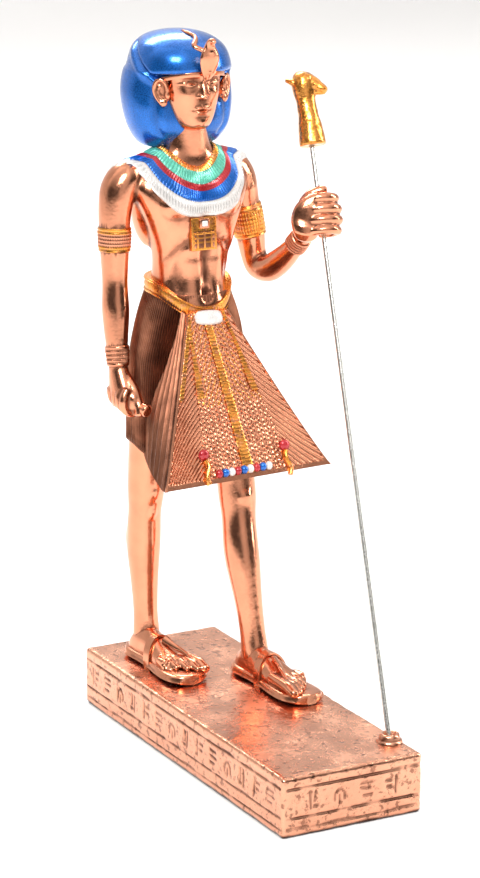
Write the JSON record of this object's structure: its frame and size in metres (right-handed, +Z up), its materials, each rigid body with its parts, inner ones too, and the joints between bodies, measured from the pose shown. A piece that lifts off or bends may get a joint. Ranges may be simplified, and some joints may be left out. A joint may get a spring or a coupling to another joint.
{
  "type": "pharaoh guardian statue",
  "caption": "Souvenir statue of a striding pharaoh in a lobed headdress, broad collar and pleated kilt, holding an animal-headed staff on an inscribed block plinth.",
  "frame": {"origin": "centre of the plinth's underside", "axes": "+Z up, -Y the way the figure faces and strides, +X to its left"},
  "size_m": [0.0812, 0.16, 0.2703],
  "materials": {
    "copper": "bright copper plating with dark patina in the hollows, and blue, red, green, white and gold enamel paint",
    "plinth_copper": "pitted copper plating with dark patina in the cuts",
    "steel": "bright drawn wire",
    "gold": "glossy gold paint over a cast surface"
  },
  "bodies": {
    "root": {"plinth": "plinth_copper", "figure": "copper", "staff_rod": "steel", "staff_head": "gold"}
  },
  "joints": []
}
